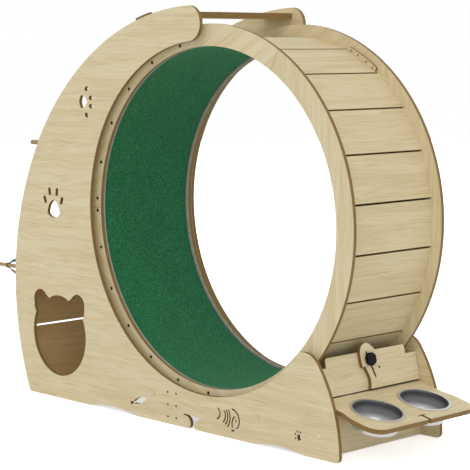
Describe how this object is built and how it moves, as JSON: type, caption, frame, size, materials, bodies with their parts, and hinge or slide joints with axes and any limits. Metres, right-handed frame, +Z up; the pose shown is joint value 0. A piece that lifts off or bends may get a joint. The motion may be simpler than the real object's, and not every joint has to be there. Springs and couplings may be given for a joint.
{
  "type": "cat exercise wheel",
  "caption": "Plywood running wheel for a cat on rollers between crescent side panels, with a den, a rest platform, a feeding tray and a sliding wheel lock.",
  "frame": {"origin": "centre of the whole object's footprint box, on the floor", "axes": "+Z up, +X toward the feeding tray, -Y toward the front panel; the wheel turns about Y"},
  "size_m": [1.5518, 0.3912, 1.1015],
  "materials": {
    "plywood": "light plywood, clear satin",
    "green_carpet": "short green pile",
    "grey_edging": "grey felt edging",
    "dark_trim": "dark matte trim",
    "bowl_steel": "spun and polished steel",
    "fastener_steel": "zinc plated",
    "bearing_steel": "ground steel",
    "roller_plastic": "moulded nylon",
    "knob_plastic": "black moulded plastic",
    "toy_wood": "turned wood, oiled",
    "collar_plastic": "dark plastic",
    "green_plume": "dark green feather",
    "pink_plume": "pink-brown feather"
  },
  "bodies": {
    "stand": {"front_panel": "plywood", "back_panel": "plywood", "top_crossbar": "plywood", "outline_strip": "dark_trim", "rest_platform": "plywood", "den_roof": "plywood", "upper_end_board": "plywood", "lower_end_board": "plywood", "den_floor": "plywood", "den_inner_board": "plywood", "right_stretcher": "plywood", "apron_board": "plywood", "lock_backboard": "plywood", "feeding_tray": "plywood", "front_panel_screws": "fastener_steel", "back_panel_screws": "fastener_steel", "roller_axle_bolts": "fastener_steel", "roller_spacers": "fastener_steel", "roller_washers": "fastener_steel", "roller_nuts": "fastener_steel", "lock_bolt": "fastener_steel", "lock_washer": "fastener_steel", "toy_peg": "toy_wood"},
    "wheel": {"front_ring_segments": "plywood", "back_ring_segments": "plywood", "front_joint_plates": "plywood", "back_joint_plates": "plywood", "tread_planks": "plywood", "running_carpet": "green_carpet", "front_edge_strip": "grey_edging", "back_edge_strip": "grey_edging"},
    "front_left_roller": {"front_left_roller": "roller_plastic", "front_left_bearings": "bearing_steel"},
    "front_right_roller": {"front_right_roller": "roller_plastic", "front_right_bearings": "bearing_steel"},
    "back_left_roller": {"back_left_roller": "roller_plastic", "back_left_bearings": "bearing_steel"},
    "back_right_roller": {"back_right_roller": "roller_plastic", "back_right_bearings": "bearing_steel"},
    "lock_slider": {"fish_slider": "plywood"},
    "lock_knob": {"lock_knob": "knob_plastic"},
    "front_bowl": {"front_bowl": "bowl_steel"},
    "rear_bowl": {"rear_bowl": "bowl_steel"},
    "teaser": {"teaser_rod": "toy_wood", "teaser_collar": "collar_plastic", "green_feather": "green_plume", "pink_feather": "pink_plume"}
  },
  "joints": [
    {"name": "wheel_spin", "type": "hinge", "parent": "stand", "child": "wheel", "pos_m": [0.18003, 0, 0.555], "axis": [0, 1, 0], "continuous": true},
    {"name": "front_left_roller_spin", "type": "hinge", "parent": "stand", "child": "front_left_roller", "pos_m": [-0.02004, -0.163, 0.072], "axis": [0, 1, 0], "continuous": true},
    {"name": "front_right_roller_spin", "type": "hinge", "parent": "stand", "child": "front_right_roller", "pos_m": [0.3801, -0.163, 0.072], "axis": [0, 1, 0], "continuous": true},
    {"name": "back_left_roller_spin", "type": "hinge", "parent": "stand", "child": "back_left_roller", "pos_m": [-0.02004, 0.163, 0.072], "axis": [0, 1, 0], "continuous": true},
    {"name": "back_right_roller_spin", "type": "hinge", "parent": "stand", "child": "back_right_roller", "pos_m": [0.3801, 0.163, 0.072], "axis": [0, 1, 0], "continuous": true},
    {"name": "lock_slide", "type": "slide", "parent": "stand", "child": "lock_slider", "axis": [-0.2139, -0.309, 0.9267], "range_m": [-0.001, 0.011]},
    {"name": "lock_knob_turn", "type": "hinge", "parent": "stand", "child": "lock_knob", "pos_m": [0.58089, 0.004, 0.21916], "axis": [0.9744, 0, 0.225], "range_deg": [0, 360]},
    {"name": "front_bowl_lift", "type": "slide", "parent": "stand", "child": "front_bowl", "axis": [0.225, 0, 0.9744], "range_m": [0, 0.06]},
    {"name": "rear_bowl_lift", "type": "slide", "parent": "stand", "child": "rear_bowl", "axis": [0.225, 0, 0.9744], "range_m": [0, 0.06]},
    {"name": "teaser_pull", "type": "slide", "parent": "stand", "child": "teaser", "axis": [-1, 0, 0], "range_m": [0, 0.03]}
  ],
  "couplings": [
    {"joint": "front_left_roller_spin", "follows": "wheel_spin", "ratio": -22.222},
    {"joint": "front_right_roller_spin", "follows": "wheel_spin", "ratio": -22.222},
    {"joint": "back_left_roller_spin", "follows": "wheel_spin", "ratio": -22.222},
    {"joint": "back_right_roller_spin", "follows": "wheel_spin", "ratio": -22.222}
  ]
}
